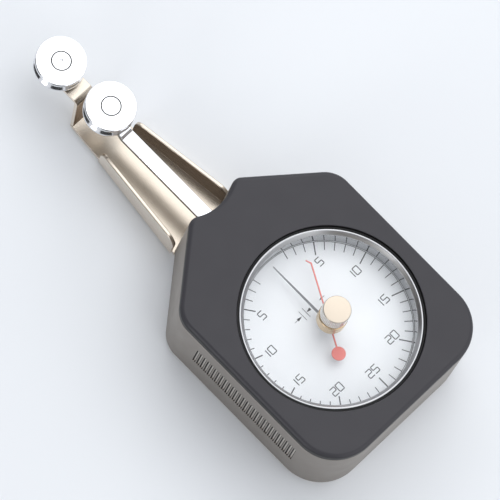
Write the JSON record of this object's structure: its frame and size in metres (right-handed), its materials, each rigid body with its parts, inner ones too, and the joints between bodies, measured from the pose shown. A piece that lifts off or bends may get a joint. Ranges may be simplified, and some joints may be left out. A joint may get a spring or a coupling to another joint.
{
  "type": "yarn tension meter",
  "caption": "Hand-held yarn tension meter: dial case on a forked back plate, fixed grooved roller, second roller on a sprung lever geared to the pointer, and a peak pointer with reset knob.",
  "frame": {"origin": "on the back plate's outer face, under the centre of the dial", "axes": "+Z out of the dial, +Y towards the rollers, +X to the right of the dial"},
  "size_m": [0.0596, 0.1372, 0.0366],
  "materials": {
    "charcoal_paint": "satin",
    "cast_case": "satin",
    "nickel_plate": "polished nickel, warm tint",
    "polished_steel": "polished",
    "turned_steel": "turned",
    "turned_brass": "turned",
    "black_rubber": "matt",
    "clear_lens": "clear",
    "white_dial": "satin",
    "grey_pointer": "satin",
    "red_pointer": "satin",
    "spring_bronze": "bright"
  },
  "bodies": {
    "meter_body": {"back_plate_fork": "nickel_plate", "case_body": "cast_case", "front_cover": "charcoal_paint", "bezel_ring": "polished_steel", "bezel_gasket": "black_rubber", "lens": "clear_lens", "dial_plate": "white_dial", "lower_movement_plate": "turned_brass", "upper_movement_plate": "turned_brass", "movement_pillar_1": "turned_brass", "movement_pillar_2": "turned_brass", "movement_pillar_3": "turned_brass", "movement_pillar_4": "turned_brass", "plate_screw_1": "turned_steel", "plate_screw_2": "turned_steel", "plate_screw_3": "turned_steel", "plate_screw_4": "turned_steel", "movement_screw_1": "turned_steel", "movement_screw_2": "turned_steel", "movement_screw_3": "turned_steel", "movement_screw_4": "turned_steel", "case_screw_1": "turned_steel", "case_screw_2": "turned_steel", "case_screw_3": "turned_steel", "case_screw_4": "turned_steel", "fork_screw_1": "turned_steel", "fork_screw_2": "turned_steel", "lever_bush_lower": "turned_brass", "lever_bush_upper": "turned_brass", "pointer_bush_lower": "turned_brass", "pointer_bush_upper": "turned_brass", "measuring_spring": "spring_bronze", "measuring_spring_stud": "turned_brass", "hairspring": "spring_bronze", "hairspring_stud": "turned_brass", "stop_pin_left": "turned_steel", "stop_pin_right": "turned_steel", "knob_bush": "turned_brass", "knob_bush_nut": "turned_steel", "fixed_roller_pin": "polished_steel", "fixed_roller_washer": "turned_brass"},
    "lever_body": {"measuring_lever": "polished_steel", "lever_arbor": "turned_steel", "lever_hub": "turned_brass", "sector_gear": "turned_brass", "measuring_spring_collet": "turned_brass", "lever_roller_pin": "polished_steel", "lever_roller_washer": "turned_brass"},
    "lever_roller_body": {"lever_roller": "polished_steel"},
    "fixed_roller_body": {"fixed_roller": "polished_steel"},
    "pointer_body": {"pointer_arbor": "turned_steel", "centre_pinion": "turned_brass", "hairspring_collet": "turned_brass", "main_pointer": "grey_pointer"},
    "peak_pointer_body": {"peak_pointer": "red_pointer", "knob_shaft": "turned_steel", "reset_knob": "turned_brass"}
  },
  "joints": [
    {"name": "lever_swing", "type": "hinge", "parent": "meter_body", "child": "lever_body", "pos_m": [0, 0.0228, 0.01], "axis": [0, 0, 1], "range_deg": [-10, 10], "stiffness_Nm_per_rad": 0.084},
    {"name": "pointer_turn", "type": "hinge", "parent": "meter_body", "child": "pointer_body", "pos_m": [0, 0, 0.01], "axis": [0, 0, 1], "range_deg": [-180, 180]},
    {"name": "peak_pointer_turn", "type": "hinge", "parent": "meter_body", "child": "peak_pointer_body", "pos_m": [0, 0, 0.0235], "axis": [0, 0, 1], "range_deg": [-318, 24]},
    {"name": "fixed_roller_spin", "type": "hinge", "parent": "meter_body", "child": "fixed_roller_body", "pos_m": [0, 0.0994, 0.0155], "axis": [0, 0, 1], "continuous": true},
    {"name": "lever_roller_spin", "type": "hinge", "parent": "lever_body", "child": "lever_roller_body", "pos_m": [0, 0.08125, 0.0188], "axis": [0, 0, 1], "continuous": true}
  ],
  "couplings": [
    {"joint": "pointer_turn", "follows": "lever_swing", "ratio": -18}
  ]
}
